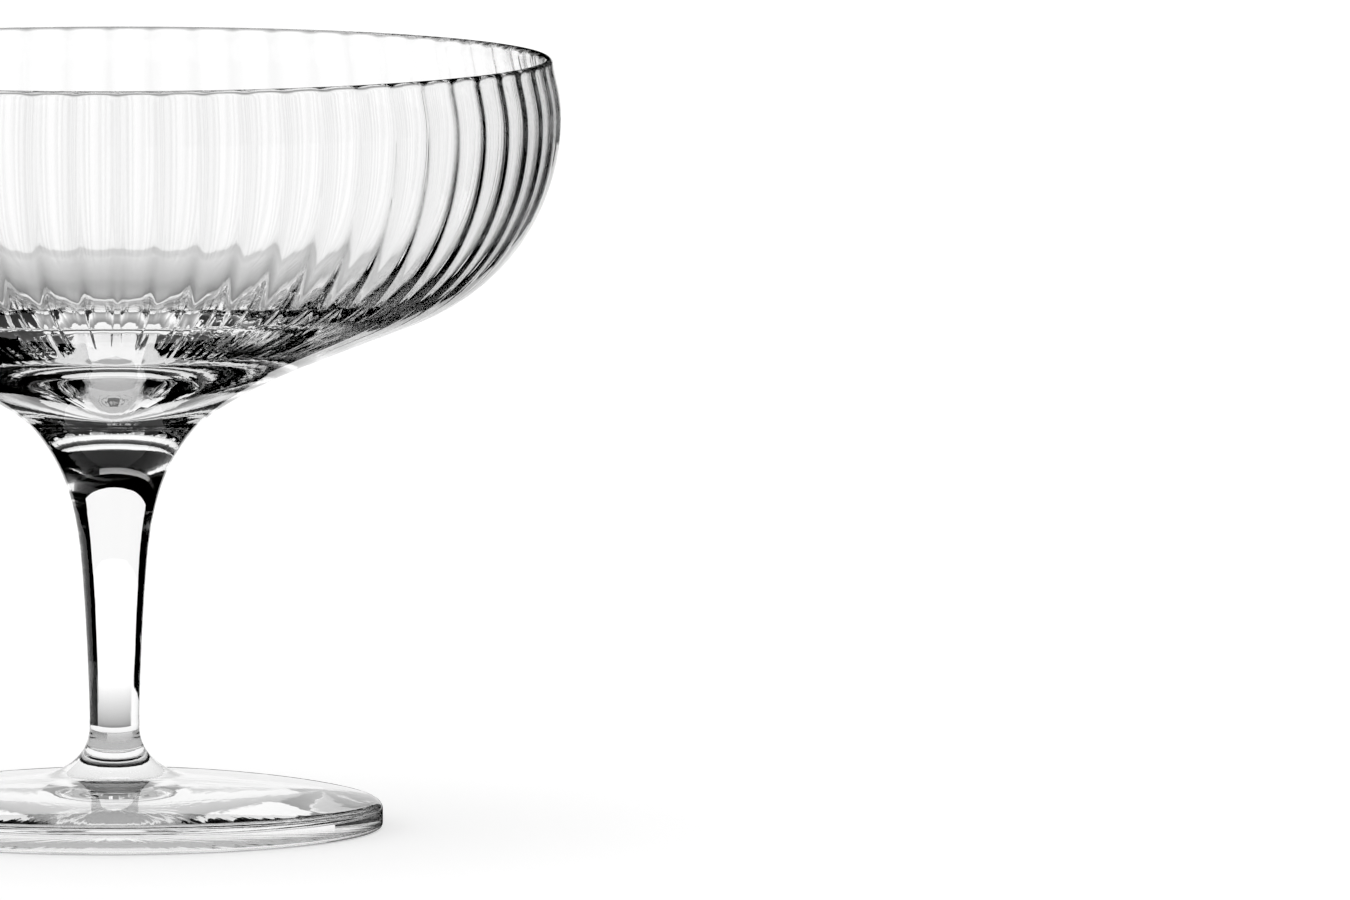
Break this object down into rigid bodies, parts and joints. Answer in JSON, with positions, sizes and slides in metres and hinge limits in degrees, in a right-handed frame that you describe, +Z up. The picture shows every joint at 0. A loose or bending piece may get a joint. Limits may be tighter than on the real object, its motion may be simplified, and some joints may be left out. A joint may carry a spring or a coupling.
{
  "type": "champagne glass",
  "caption": "Champagne saucer of clear glass: wide shallow bowl with fine ribs inside, drawn solid stem and round foot, blown in one piece.",
  "frame": {"origin": "centre of the underside of the foot, on the axis of the glass", "axes": "+Z up along the axis of the glass, from the foot to the lip; X and Y across, all directions alike apart from the phase of the ribs"},
  "size_m": [0.112, 0.112, 0.0965],
  "materials": {
    "clear_glass": "clear, fire-polished, smooth outside, fine ribs inside the bowl"
  },
  "bodies": {
    "root": {"champagne_saucer": "clear_glass"}
  },
  "joints": []
}
